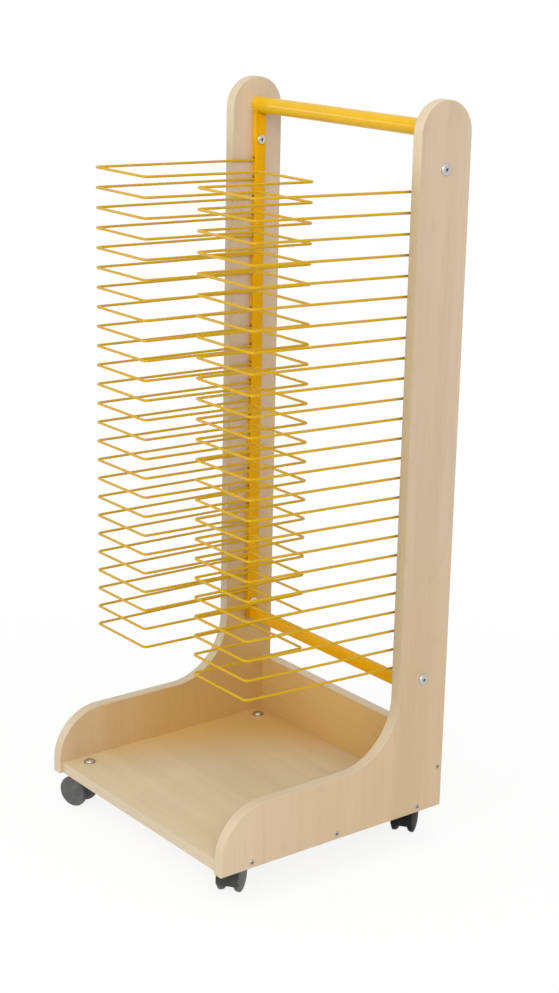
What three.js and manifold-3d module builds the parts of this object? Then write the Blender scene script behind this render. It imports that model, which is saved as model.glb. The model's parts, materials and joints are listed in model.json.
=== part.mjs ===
// An art drying rack on castors. Two maple-faced side panels stand on a tray base, a steel frame
// is bolted between them, and a ladder of wire shelves hooks into slots in the frame's posts.
// Millimetres, +Z up, front towards -Y. The origin is on the floor under the middle of the rack.
import * as THREE from "three";
import { mergeVertices } from "three/addons/utils/BufferGeometryUtils.js";
import Module from "manifold-3d";

const wasm = await Module();
wasm.setup();

// Boards: heights are above the panels' bottom edge
const clearWidth = 422; // between the side panels, for a sheet 420 wide
const boardThickness = 18;
const panelDepth = 425;
const panelHeight = 1090;
const uprightWidth = 95;
const footHeight = 100;
const noseRadius = 80; // rounded front of the foot
const throatRadius = 100; // hollow where the foot runs up into the upright
const bandThickness = 1; // plastic edge band
const glueLine = 0.3;
const baseSetback = 6; // base board's front edge behind the panels' front edges
const backBoardHeight = 96;

// Steel frame
const handleDiameter = 25;
const handleRise = 4.5; // handle's axis above the centre of the panels' round tops
const tubeWall = 1.5;
const postDepth = 20;
const postWidth = 10;
const tubeCornerRadius = 1.5;
const weldGap = 0.3;
const crossBarHeight = 20;
const crossBarDepth = 10;
const crossBarDrop = 39; // lowest shelf down to the middle of the lower cross bar

// Wire shelves
const shelfCount = 25;
const topShelfDrop = 129; // panel top down to the first shelf
const lowestShelfHeight = 241;
const wireDiameter = 4;
const shelfSetback = 65; // finger tips behind the panels' front edges
const shelfRise = 8; // finger tips above the hooks
const fingerLength = 207; // finger tip back to the bar that joins the two fingers
const fingerInset = 16; // outer wire to the panel, at the finger tips
const centreGap = 129; // between the two fingers' inner wires
const bendRadius = 6;
const hookHeight = 12;
const hookBendRadius = 4;
const hookSeatGap = 0.3;
const slotSideGap = 0.6;
const slotTopGap = 0.5;
const liftAngle = THREE.MathUtils.degToRad(40); // how far a shelf tips up in its slots

// Frame bolts, each with its sleeve nut
const boltShankDiameter = 6;
const boltHeadDiameter = 17;
const boltHeadHeight = 3.2;
const boltFaceDiameter = 10; // flat on top of the domed head
const sleeveNutDiameter = 15;
const sleeveNutHeight = 3;
const sleeveNutFaceDiameter = 12;
const boltHoleGap = 0.5;
const hexSocketWidth = 4;
const hexSocketDepth = 2;
const boltAboveTopShelf = 32;
const boltBelowLowestShelf = 20;

// Twin-wheel castors
const wheelDiameter = 50;
const wheelWidth = 11.4;
const treadWidth = 7.6; // the rest of the wheel's width is its domed outer face
const wheelEdge = 1.5; // bevel at the tread's inner edge
const hubCapThickness = 2;
const webThickness = 15.6; // plate between the two wheels
const wheelSideGap = 0.4;
const hoodClearance = 1;
const hoodWall = 2.4;
const hoodInset = 2.6; // hood's side edge inside the wheel's outermost point
const hoodStart = THREE.MathUtils.degToRad(-15); // hood's lower lip, seen from the axle
const hoodEnd = THREE.MathUtils.degToRad(110);
const hubDiameter = 18;
const bossDiameter = 18;
const bossRise = 1.3; // swivel boss above the top of the hood's crown
const trail = 22; // axle behind the swivel axis
const axleDiameter = 5;
const runningGap = 0.3;
const swivelPinDiameter = 7;
const swivelPinLength = 22;
const collarDiameter = 20;
const collarHeight = 3;
const stemDiameter = 10;
const stemNutDiameter = 17;
const stemNutHeight = 5;
const stemNutCrownDiameter = 12; // where the dome turns over to its top
const stemNutCrownDrop = 0.8;
const stemHoleGap = 0.3;
const castorSideInset = 23; // swivel axis to the panel's inner face
const castorEndInset = 42; // swivel axis to the panels' front and back edges

// Facets: an extruded arc gets twice its number of segments
const outlineSegments = 7;
const handleSegments = 20;
const cornerSegments = 1;
const hoodSegments = 4;
const wireSides = 6;
const wireBendSegments = 2;
const hookBendSegments = 1;
const turnedSegments = 10;
const wheelSegments = 16;
const domeSteps = 3;
const hexSides = 6;
const mergeTolerance = 1e-4;
const cutMargin = 1; // a cutter runs this far past what it cuts

// Shared places
const castorHeight =
  wheelDiameter + hoodClearance + hoodWall + bossRise + runningGap + collarHeight;
const deckZ = castorHeight; // bottom of panels and base board
const innerX = clearWidth / 2;
const outerX = innerX + boardThickness;
const frontY = -panelDepth / 2;
const backY = panelDepth / 2;
const uprightFrontY = backY - uprightWidth;
const uprightMidY = backY - uprightWidth / 2;
const crownZ = deckZ + panelHeight - uprightWidth / 2; // centre of the round tops
const handleZ = crownZ + handleRise;
const topShelfZ = deckZ + panelHeight - topShelfDrop;
const lowestShelfZ = deckZ + lowestShelfHeight;
const shelfPitch = (topShelfZ - lowestShelfZ) / (shelfCount - 1);
const crossBarZ = lowestShelfZ - crossBarDrop;
const postX = innerX - postWidth / 2;
const postFrontY = uprightMidY - postDepth / 2;
const slotInnerY = postFrontY + tubeWall; // inner face of the slotted wall
const boltHeights = [topShelfZ + boltAboveTopShelf, lowestShelfZ - boltBelowLowestShelf];
const wheelRadius = wheelDiameter / 2;
const wireRadius = wireDiameter / 2;

const X = new THREE.Vector3(1, 0, 0);
const Y = new THREE.Vector3(0, 1, 0);
const Z = new THREE.Vector3(0, 0, 1);
const alongX = new THREE.Matrix4().makeBasis(Y, Z, X); // shape in (y, z), extruded along x
const alongY = new THREE.Matrix4().makeBasis(Z, X, Y); // shape in (z, x), extruded along y
const alongZ = new THREE.Matrix4(); // shape in (x, y), extruded along z
const latheToX = new THREE.Matrix4().makeRotationZ(-Math.PI / 2);
const latheToZ = new THREE.Matrix4().makeRotationX(Math.PI / 2);

function finish(color, roughness, metalness) {
  return () => new THREE.MeshStandardMaterial({ color, roughness, metalness });
}
const mapleBoard = finish("#d3ba98", 0.5, 0);
const mapleBand = finish("#e0cfae", 0.45, 0);
const yellowCoat = finish("#eeb211", 0.4, 0);
const zincPlate = finish("#c4c6c8", 0.35, 1);
const greyPlastic = finish("#4a4a4c", 0.55, 0);
const brightSteel = finish("#b8babd", 0.3, 1);

// A closed mesh as a solid that can be joined and cut, without the slivers at a lathe's poles.
function solidOf(geometry) {
  const bare = new THREE.BufferGeometry();
  bare.setAttribute("position", geometry.getAttribute("position"));
  bare.setIndex(geometry.getIndex());
  const merged = mergeVertices(bare, mergeTolerance);
  const source = merged.getIndex().array;
  const corners = [];
  for (let i = 0; i < source.length; i += 3) {
    const [a, b, c] = source.slice(i, i + 3);
    if (a !== b && b !== c && c !== a) corners.push(a, b, c);
  }
  const vertProperties = new Float32Array(merged.getAttribute("position").array);
  const triVerts = new Uint32Array(corners);
  return new wasm.Manifold(new wasm.Mesh({ numProp: 3, vertProperties, triVerts }));
}

function geometryOf(solid) {
  const mesh = solid.getMesh();
  const geometry = new THREE.BufferGeometry();
  geometry.setAttribute("position", new THREE.BufferAttribute(mesh.vertProperties, 3));
  geometry.setIndex(new THREE.BufferAttribute(mesh.triVerts, 1));
  geometry.computeVertexNormals();
  return geometry;
}

function cutFrom(solid, cutters) {
  return cutters.reduce((left, cutter) => left.subtract(cutter), solid);
}

function extrude(shape, from, to, frame, curveSegments) {
  const settings = { depth: to - from, bevelEnabled: false, curveSegments };
  const geometry = new THREE.ExtrudeGeometry(shape, settings);
  geometry.translate(0, 0, from);
  return solidOf(geometry.applyMatrix4(frame));
}

// A turned piece: the profile is [radius, place along the axis], and starts and ends on the axis.
function turn(profile, frame, segments, [x, y, z] = [0, 0, 0]) {
  const points = profile.map(([radius, place]) => new THREE.Vector2(radius, place));
  const geometry = new THREE.LatheGeometry(points, segments).applyMatrix4(frame);
  return solidOf(geometry.translate(x, y, z));
}

function rod(radius, from, to, frame, segments, offset) {
  return turn([[0, from], [radius, from], [radius, to], [0, to]], frame, segments, offset);
}

function add(parent, name, solid, material) {
  const mesh = new THREE.Mesh(geometryOf(solid), material());
  mesh.name = name;
  parent.add(mesh);
  return mesh;
}

function rectangle(fromU, toU, fromV, toV) {
  const shape = new THREE.Shape();
  shape.moveTo(fromU, fromV);
  shape.lineTo(toU, fromV);
  shape.lineTo(toU, toV);
  shape.lineTo(fromU, toV);
  shape.closePath();
  return shape;
}

function roundedRectangle(midU, midV, sizeU, sizeV, radius) {
  const u = sizeU / 2 - radius;
  const v = sizeV / 2 - radius;
  const shape = new THREE.Shape();
  shape.absarc(midU + u, midV - v, radius, -Math.PI / 2, 0, false);
  shape.absarc(midU + u, midV + v, radius, 0, Math.PI / 2, false);
  shape.absarc(midU - u, midV + v, radius, Math.PI / 2, Math.PI, false);
  shape.absarc(midU - u, midV - v, radius, Math.PI, 1.5 * Math.PI, false);
  shape.closePath();
  return shape;
}

// Rectangular tube, rounded outside and square inside, open at both ends.
function boxTube(midU, midV, sizeU, sizeV, from, to, frame) {
  const outside = roundedRectangle(midU, midV, sizeU, sizeV, tubeCornerRadius);
  const u = sizeU / 2 - tubeWall;
  const v = sizeV / 2 - tubeWall;
  const inside = rectangle(midU - u, midU + u, midV - v, midV + v);
  const bore = extrude(inside, from - cutMargin, to + cutMargin, frame);
  return cutFrom(extrude(outside, from, to, frame, cornerSegments), [bore]);
}

// Side panel outline in (y, z), moved inwards by inset all round.
function panelOutline(inset) {
  const footTopZ = deckZ + footHeight;
  const throatY = uprightFrontY - throatRadius;
  const throatZ = footTopZ + throatRadius;
  const shape = new THREE.Shape();
  shape.moveTo(frontY + inset, deckZ + inset);
  shape.lineTo(backY - inset, deckZ + inset);
  shape.absarc(uprightMidY, crownZ, uprightWidth / 2 - inset, 0, Math.PI, false);
  shape.absarc(throatY, throatZ, throatRadius + inset, 0, -Math.PI / 2, true);
  const noseY = frontY + noseRadius;
  const noseZ = footTopZ - noseRadius;
  shape.absarc(noseY, noseZ, noseRadius - inset, Math.PI / 2, Math.PI, false);
  shape.closePath();
  return shape;
}

// Holes for the frame bolts, right across the rack.
const boltBores = boltHeights.map((height) => {
  const radius = boltShankDiameter / 2 + boltHoleGap;
  const reach = outerX + cutMargin;
  return rod(radius, -reach, reach, latheToX, turnedSegments, [0, uprightMidY, height]);
});

function buildSidePanel(parent, sideName, fromX, toX) {
  const core = extrude(panelOutline(bandThickness + glueLine), fromX, toX, alongX, outlineSegments);
  add(parent, `${sideName}_side_panel`, cutFrom(core, boltBores), mapleBoard);
  const full = extrude(panelOutline(0), fromX, toX, alongX, outlineSegments);
  const insideBand = panelOutline(bandThickness);
  const inside = extrude(insideBand, fromX - cutMargin, toX + cutMargin, alongX, outlineSegments);
  add(parent, `${sideName}_panel_edge_band`, cutFrom(full, [inside]), mapleBand);
}

const castorX = innerX - castorSideInset;
const castorPlaces = [
  { name: "front_left", x: -castorX, y: frontY + castorEndInset, yaw: -68.6 },
  { name: "front_right", x: castorX, y: frontY + castorEndInset, yaw: 216.6 },
  { name: "rear_left", x: -castorX, y: backY - castorEndInset, yaw: 250 },
  { name: "rear_right", x: castorX, y: backY - castorEndInset, yaw: 215.9 },
];

function buildTray(parent) {
  const baseTopZ = deckZ + boardThickness;
  const bandFrontY = frontY + baseSetback;
  const bandBackY = bandFrontY + bandThickness;
  const baseSection = rectangle(bandBackY + glueLine, backY, deckZ, baseTopZ);
  const base = extrude(baseSection, -innerX, innerX, alongX);
  const stemHoles = castorPlaces.map(({ x, y }) => {
    const radius = stemDiameter / 2 + stemHoleGap;
    const from = deckZ - cutMargin;
    return rod(radius, from, baseTopZ + cutMargin, latheToZ, turnedSegments, [x, y, 0]);
  });
  add(parent, "base_board", cutFrom(base, stemHoles), mapleBoard);
  const bandSection = rectangle(bandFrontY, bandBackY, deckZ, baseTopZ);
  add(parent, "base_edge_band", extrude(bandSection, -innerX, innerX, alongX), mapleBand);
  const backTopZ = baseTopZ + backBoardHeight;
  const backSection = rectangle(backY - boardThickness, backY, baseTopZ, backTopZ);
  add(parent, "back_board", extrude(backSection, -innerX, innerX, alongX), mapleBoard);
}

const shelfHeights = Array.from({ length: shelfCount }, (_, i) => topShelfZ - i * shelfPitch);
const fingerTipY = frontY + shelfSetback;
const shelfSlope = shelfRise / (slotInnerY - fingerTipY);

// Slot for a hook: the wire sits in its foot, and its height lets the shelf tip up to liftAngle.
function slotCutter(x, shelfZ) {
  const steepest = liftAngle + Math.atan(shelfSlope);
  const wireFootZ = shelfZ - wireRadius;
  const needed = wireDiameter / Math.cos(steepest) + tubeWall * Math.tan(steepest);
  const lowZ = wireFootZ - hookSeatGap;
  const highZ = wireFootZ + needed + slotTopGap;
  const halfWidth = wireRadius + slotSideGap;
  const shape = rectangle(lowZ, highZ, x - halfWidth, x + halfWidth);
  return extrude(shape, postFrontY - cutMargin, slotInnerY + cutMargin, alongY);
}

function buildPost(parent, sideName, x) {
  const footZ = crossBarZ - crossBarHeight / 2;
  const tube = boxTube(x, uprightMidY, postWidth, postDepth, footZ, handleZ, alongZ);
  const saddleRadius = handleDiameter / 2 + weldGap;
  const saddleAt = [0, uprightMidY, handleZ];
  const saddle = rod(saddleRadius, -outerX, outerX, latheToX, handleSegments, saddleAt);
  const slots = shelfHeights.map((shelfZ) => slotCutter(x, shelfZ));
  add(parent, `${sideName}_post`, cutFrom(tube, [saddle, ...boltBores, ...slots]), yellowCoat);
}

function buildFrame(parent) {
  const handleAt = [0, uprightMidY, handleZ];
  const handleRadius = handleDiameter / 2;
  const handle = rod(handleRadius, -innerX, innerX, latheToX, handleSegments, handleAt);
  const boreReach = innerX + cutMargin;
  const boreRadius = handleRadius - tubeWall;
  const bore = rod(boreRadius, -boreReach, boreReach, latheToX, handleSegments, handleAt);
  add(parent, "handle_tube", cutFrom(handle, [bore]), yellowCoat);
  buildPost(parent, "left", -postX);
  buildPost(parent, "right", postX);
  const barReach = innerX - postWidth;
  const barSize = [crossBarDepth, crossBarHeight];
  const bar = boxTube(uprightMidY, crossBarZ, ...barSize, -barReach, barReach, alongX);
  add(parent, "lower_cross_bar", bar, yellowCoat);
}

// Domed bolt through panel and post, with its sleeve nut on the post's inner face.
function buildFrameBolt(parent, name, side, height) {
  const grip = boardThickness + postWidth;
  const shankRadius = boltShankDiameter / 2;
  const headRadius = boltHeadDiameter / 2;
  const nutRadius = sleeveNutDiameter / 2;
  const profile = [
    [0, -grip - sleeveNutHeight],
    [sleeveNutFaceDiameter / 2, -grip - sleeveNutHeight],
    [nutRadius, -grip - sleeveNutHeight / 2],
    [nutRadius, -grip],
    [shankRadius, -grip],
    [shankRadius, 0],
    [headRadius, 0],
    [headRadius, boltHeadHeight / 3],
    [boltFaceDiameter / 2, boltHeadHeight],
    [0, boltHeadHeight],
  ];
  const socketRadius = hexSocketWidth / Math.sqrt(3);
  const sockets = [
    [boltHeadHeight - hexSocketDepth, boltHeadHeight + cutMargin],
    [-grip - sleeveNutHeight - cutMargin, -grip - sleeveNutHeight + hexSocketDepth],
  ].map(([from, to]) => rod(socketRadius, from, to, latheToX, hexSides));
  const bolt = cutFrom(turn(profile, latheToX, turnedSegments), sockets);
  const mesh = add(parent, name, bolt, zincPlate);
  mesh.position.set(side * outerX, uprightMidY, height);
  mesh.rotation.z = side < 0 ? Math.PI : 0;
}

// Middle line of a bent wire: each corner between its ends is [point, bend radius, segments].
function bentLine(corners) {
  const line = [corners[0][0]];
  for (let i = 1; i < corners.length - 1; i += 1) {
    const [corner, radius, segments] = corners[i];
    const inward = corner.clone().sub(corners[i - 1][0]).normalize();
    const onward = corners[i + 1][0].clone().sub(corner).normalize();
    const bend = inward.angleTo(onward);
    const axis = inward.clone().cross(onward).normalize();
    const start = corner.clone().addScaledVector(inward, -radius * Math.tan(bend / 2));
    const centre = start.clone().addScaledVector(axis.clone().cross(inward), radius);
    for (let k = 0; k <= segments; k += 1) {
      const spoke = start.clone().sub(centre);
      spoke.applyAxisAngle(axis, (bend * k) / segments);
      line.push(centre.clone().add(spoke));
    }
  }
  line.push(corners.at(-1)[0]);
  return line;
}

// Round wire along a line, with each ring of points in the plane that halves its bend.
function wireSolid(line, firstNormal) {
  const steps = line.slice(1).map((point, i) => point.clone().sub(line[i]).normalize());
  const normal = firstNormal.clone();
  const positions = [];
  line.forEach((point, i) => {
    const inward = steps[Math.max(i - 1, 0)];
    const onward = steps[Math.min(i, steps.length - 1)];
    const mitre = inward.clone().add(onward);
    const binormal = inward.clone().cross(normal);
    for (let k = 0; k < wireSides; k += 1) {
      const angle = (2 * Math.PI * k) / wireSides;
      const offset = normal.clone().multiplyScalar(wireRadius * Math.cos(angle));
      offset.addScaledVector(binormal, wireRadius * Math.sin(angle));
      offset.addScaledVector(inward, -offset.dot(mitre) / inward.dot(mitre));
      positions.push(...offset.add(point).toArray());
    }
    normal.applyQuaternion(new THREE.Quaternion().setFromUnitVectors(inward, onward));
  });
  const index = [];
  const lastRing = (line.length - 1) * wireSides;
  for (let k = 1; k < wireSides - 1; k += 1) {
    index.push(0, k + 1, k, lastRing, lastRing + k, lastRing + k + 1);
  }
  for (let ring = 0; ring < lastRing; ring += wireSides) {
    for (let k = 0; k < wireSides; k += 1) {
      const a = ring + k;
      const b = ring + ((k + 1) % wireSides);
      index.push(a, b, b + wireSides, a, b + wireSides, a + wireSides);
    }
  }
  const geometry = new THREE.BufferGeometry();
  geometry.setAttribute("position", new THREE.Float32BufferAttribute(positions, 3));
  geometry.setIndex(index);
  return solidOf(geometry);
}

// One shelf is one wire: from a hook along the side, round two fingers and back to the other hook.
function buildShelf(parent, name, shelfZ) {
  const at = (x, y) => new THREE.Vector3(x, y, shelfZ + (slotInnerY - y) * shelfSlope);
  const hookY = slotInnerY + hookSeatGap + wireRadius;
  const tipX = innerX - fingerInset;
  const half = [
    [at(postX, hookY).addScaledVector(Z, hookHeight)],
    [at(postX, hookY), hookBendRadius, hookBendSegments],
    [at(tipX, fingerTipY), bendRadius, wireBendSegments],
    [at(centreGap / 2, fingerTipY), bendRadius, wireBendSegments],
    [at(centreGap / 2, fingerTipY + fingerLength), bendRadius, wireBendSegments],
  ];
  const otherHalf = half.map(([point, ...bend]) => [point.clone().setX(-point.x), ...bend]);
  const corners = [...half, ...otherHalf.reverse()];
  add(parent, name, wireSolid(bentLine(corners), X), yellowCoat);
}

// Threaded stem: swivel pin and collar below the base board, domed nut above it.
function buildStem(parent, { name, x, y }) {
  const nutRadius = stemNutDiameter / 2;
  const profile = [
    [0, -collarHeight - swivelPinLength],
    [swivelPinDiameter / 2, -collarHeight - swivelPinLength],
    [swivelPinDiameter / 2, -collarHeight],
    [collarDiameter / 2, -collarHeight],
    [collarDiameter / 2, 0],
    [stemDiameter / 2, 0],
    [stemDiameter / 2, boardThickness],
    [nutRadius, boardThickness],
    [nutRadius, boardThickness + stemNutHeight / 3],
    [stemNutCrownDiameter / 2, boardThickness + stemNutHeight - stemNutCrownDrop],
    [0, boardThickness + stemNutHeight],
  ];
  const stem = turn(profile, latheToZ, turnedSegments);
  add(parent, `${name}_castor_stem`, stem, zincPlate).position.set(x, y, deckZ);
}

// Moulded hood with its web between the wheels, in the castor's frame: swivel axis at the origin.
function hoodSolid() {
  const wellRadius = wheelRadius + hoodClearance;
  const crownRadius = wellRadius + hoodWall;
  const webSide = webThickness / 2;
  const hoodSide = webSide + wheelSideGap + wheelWidth - hoodInset;
  const axleAt = [0, -trail, wheelRadius];
  const shape = new THREE.Shape();
  const lipY = crownRadius * Math.cos(hoodStart) - trail;
  const lipZ = crownRadius * Math.sin(hoodStart) + wheelRadius;
  shape.moveTo(-trail, wheelRadius);
  shape.lineTo(lipY, lipZ);
  shape.absarc(-trail, wheelRadius, crownRadius, hoodStart, hoodEnd, false);
  shape.closePath();
  const crown = extrude(shape, -hoodSide, hoodSide, alongX, hoodSegments);
  const hub = rod(hubDiameter / 2, -webSide, webSide, latheToX, turnedSegments, axleAt);
  const bossTopZ = deckZ - collarHeight - runningGap;
  const boss = rod(bossDiameter / 2, wheelRadius, bossTopZ, latheToZ, turnedSegments);
  const wellEnd = hoodSide + cutMargin;
  const cutters = [
    rod(wellRadius, webSide, wellEnd, latheToX, wheelSegments, axleAt),
    rod(wellRadius, -wellEnd, -webSide, latheToX, wheelSegments, axleAt),
  ];
  const pinRadius = swivelPinDiameter / 2 + runningGap;
  const pinFootZ = deckZ - collarHeight - swivelPinLength - runningGap;
  cutters.push(rod(pinRadius, pinFootZ, bossTopZ + cutMargin, latheToZ, turnedSegments));
  const axleRadius = axleDiameter / 2 + runningGap;
  cutters.push(rod(axleRadius, -wellEnd, wellEnd, latheToX, turnedSegments, axleAt));
  return cutFrom(crown.add(hub).add(boss), cutters);
}

// Wheel on the +X end of the axle: a narrow tread, a domed outer face and a blind bore.
function wheelSolid() {
  const innerFace = webThickness / 2 + wheelSideGap;
  const treadEnd = innerFace + treadWidth;
  const domeRise = wheelWidth - treadWidth;
  const boreRadius = axleDiameter / 2 + runningGap;
  const boreEnd = innerFace + wheelWidth - hubCapThickness;
  const profile = [
    [0, boreEnd],
    [boreRadius, boreEnd],
    [boreRadius, innerFace],
    [wheelRadius - wheelEdge, innerFace],
    [wheelRadius, innerFace + wheelEdge],
  ];
  for (let step = 0; step < domeSteps; step += 1) {
    const angle = (Math.PI / 2) * (step / domeSteps);
    profile.push([wheelRadius * Math.cos(angle), treadEnd + domeRise * Math.sin(angle)]);
  }
  profile.push([0, treadEnd + domeRise]);
  return turn(profile, latheToX, wheelSegments);
}

function buildCastor(parent, { name, x, y, yaw }) {
  const castor = new THREE.Group();
  castor.position.set(x, y, 0);
  castor.rotation.z = THREE.MathUtils.degToRad(yaw);
  parent.add(castor);
  add(castor, `${name}_castor_hood`, hoodSolid(), greyPlastic);
  const axleGroup = new THREE.Group();
  axleGroup.position.set(0, -trail, wheelRadius);
  castor.add(axleGroup);
  const axleReach = webThickness / 2 + wheelSideGap + wheelWidth - hubCapThickness - runningGap;
  const axle = rod(axleDiameter / 2, -axleReach, axleReach, latheToX, turnedSegments);
  add(axleGroup, `${name}_castor_axle`, axle, brightSteel);
  add(axleGroup, `${name}_castor_right_wheel`, wheelSolid(), greyPlastic);
  const leftWheel = add(axleGroup, `${name}_castor_left_wheel`, wheelSolid(), greyPlastic);
  leftWheel.rotation.z = Math.PI;
}

const rack = new THREE.Group();
buildSidePanel(rack, "left", -outerX, -innerX);
buildSidePanel(rack, "right", innerX, outerX);
buildTray(rack);
buildFrame(rack);
for (const [sideName, side] of [["left", -1], ["right", 1]]) {
  buildFrameBolt(rack, `upper_${sideName}_frame_bolt`, side, boltHeights[0]);
  buildFrameBolt(rack, `lower_${sideName}_frame_bolt`, side, boltHeights[1]);
}
shelfHeights.forEach((shelfZ, i) => {
  buildShelf(rack, `shelf_${String(i + 1).padStart(2, "0")}`, shelfZ);
});
for (const place of castorPlaces) {
  buildStem(rack, place);
  buildCastor(rack, place);
}

export default rack;
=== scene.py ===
import json
from math import atan2, cos, radians

import bmesh
import bpy
import numpy as np
from mathutils import Matrix, Vector


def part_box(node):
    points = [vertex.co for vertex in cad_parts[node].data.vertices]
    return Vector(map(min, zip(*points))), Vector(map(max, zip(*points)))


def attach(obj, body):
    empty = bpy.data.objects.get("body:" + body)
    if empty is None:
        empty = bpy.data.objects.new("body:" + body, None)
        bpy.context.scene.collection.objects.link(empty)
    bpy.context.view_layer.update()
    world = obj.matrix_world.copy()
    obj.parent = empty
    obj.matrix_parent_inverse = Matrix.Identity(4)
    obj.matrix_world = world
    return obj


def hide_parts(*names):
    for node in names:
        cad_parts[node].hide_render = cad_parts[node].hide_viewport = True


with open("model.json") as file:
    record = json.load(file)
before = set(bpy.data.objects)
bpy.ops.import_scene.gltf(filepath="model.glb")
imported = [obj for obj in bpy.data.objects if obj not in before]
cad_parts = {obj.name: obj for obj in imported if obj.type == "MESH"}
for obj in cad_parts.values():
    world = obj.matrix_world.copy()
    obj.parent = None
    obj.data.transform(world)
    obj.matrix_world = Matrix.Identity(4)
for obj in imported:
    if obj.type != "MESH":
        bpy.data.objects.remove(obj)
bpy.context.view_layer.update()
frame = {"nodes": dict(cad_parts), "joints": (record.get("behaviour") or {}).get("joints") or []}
mm = 0.001  # sizes below are in mm unless a note says otherwise
alongX, alongY, alongZ = 0, 1, 2
joints = {joint["name"]: joint for joint in frame["joints"]}
shelfJoints = [joint for name, joint in joints.items() if name.startswith("shelf_")]
sides = (("left", -1), ("right", 1))
print("frame:", len(frame["nodes"]), "nodes")


def hexColor(code):
    # the sRGB curve undone on each channel, so a colour is written as the eye sees it
    channel = np.array([int(code[i:i + 2], 16) for i in (1, 3, 5)]) / 255
    linear = np.where(channel <= 0.04045, channel / 12.92, ((channel + 0.055) / 1.055) ** 2.4)
    return (*linear, 1.0)


def setInputs(tree, node, inputs):
    # an input is a value, or a socket that is linked to it
    for name, value in inputs.items():
        if isinstance(value, bpy.types.NodeSocket):
            tree.links.new(value, node.inputs[name])
        else:
            node.inputs[name].default_value = value


def addNode(tree, kind, inputs=None, **settings):
    # one node with its settings and links
    made = tree.nodes.new(kind)
    for name, value in settings.items():
        setattr(made, name, value)
    setInputs(tree, made, inputs or {})
    return made


def newFinish(name, shader):
    # a Principled material with its constant sockets set
    finish = bpy.data.materials.new(name)
    finish.use_nodes = True
    bsdf = finish.node_tree.nodes["Principled BSDF"]
    setInputs(finish.node_tree, bsdf, shader)
    return finish, finish.node_tree, bsdf


def setSurface(tree, bsdf, look, color, texture, bumpStrength=0):
    # base colour, then roughness and bump that follow one texture
    low, high = look["roughness"]
    gloss = addNode(tree, "ShaderNodeMapRange", {"Value": texture, "To Min": low, "To Max": high})
    setInputs(tree, bsdf, {"Base Color": color, "Roughness": gloss.outputs[0]})
    if bumpStrength:
        bump = addNode(tree, "ShaderNodeBump", {"Height": texture, "Strength": bumpStrength,
                                                "Distance": look["bumpDepth"] * mm})
        setInputs(tree, bsdf, {"Normal": bump.outputs[0]})


def featureScale(width, length, lengthAxis):
    # scale that counts coordinates in features: width mm across, and length mm along one axis
    sizes = [width] * 3
    sizes[lengthAxis] = length
    return [1 / (size * mm) for size in sizes]


def layered(tree, base, layers):
    # a base colour with colours laid over it in turn, each by its own share
    color = hexColor(base)
    for share, code in layers:
        color = addNode(tree, "ShaderNodeMix", {0: share, 6: color, 7: hexColor(code)},
                        data_type="RGBA").outputs[2]
    return color


def rampShare(tree, place, most, ramps):
    # a share that rises smoothly to its most along every ramp, which gives an axis, the place
    # where the ramp starts and the place where it is full
    axes = addNode(tree, "ShaderNodeSeparateXYZ", {0: place}).outputs
    share = most
    for axis, start, full in ramps:
        share = addNode(tree, "ShaderNodeMapRange",
                        {"Value": axes[axis], "From Min": start * mm, "From Max": full * mm,
                         "To Max": share}, interpolation_type="SMOOTHSTEP").outputs[0]
    return share


mapleLook = {
    "pale": "#D1BBA0", "base": "#C6AF93", "pore": "#9E7E5B",
    "bandWidth": 42, "bandLength": 1500,
    "fibreWidth": 2.2, "fibreLength": 150,  # real fibres are 0.3 mm wide, too fine to show
    "figureWidth": 60, "figureLength": 620, "figureLines": 9,
    "fleckWidth": 2.6, "fleckLength": 17,
    "lineShare": 0.07, "fleckShare": 0.1, "fibreShare": 0.17,
    "roughness": (0.4, 0.56), "bumpStrength": 0.25, "bumpDepth": 0.02,
}
trayLook = {**mapleLook, "pale": "#CDBD9B", "base": "#C4B28F", "pore": "#957A56",
            "lineShare": 0.05, "fleckShare": 0.06, "fibreShare": 0.12}
# painted shade and bounce light, a warmer, darker colour: down the uprights, most on their inner faces,
# and to the back of the tray
uprightWarmShade = {"along": (0, 0, -1), "from": -620, "to": -140, "color": "#CBA45E",
                 "outside": 0.26, "inside": 0.9, "insideX": 211.4, "insideY": 300,
                 "frontY": -260, "fullY": 0, "frontShare": 0.1}
trayWarmShade = {"along": (-0.85, 0.53, 0), "from": 20, "to": 215, "color": "#CCA55F",
              "outside": 0, "inside": 0.9, "insideX": 300, "insideY": 195,
              "frontY": -260, "fullY": 60, "frontShare": 1}
backWarmShade = {**trayWarmShade, "along": (0, 1, 0), "from": 0, "to": 190}


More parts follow.
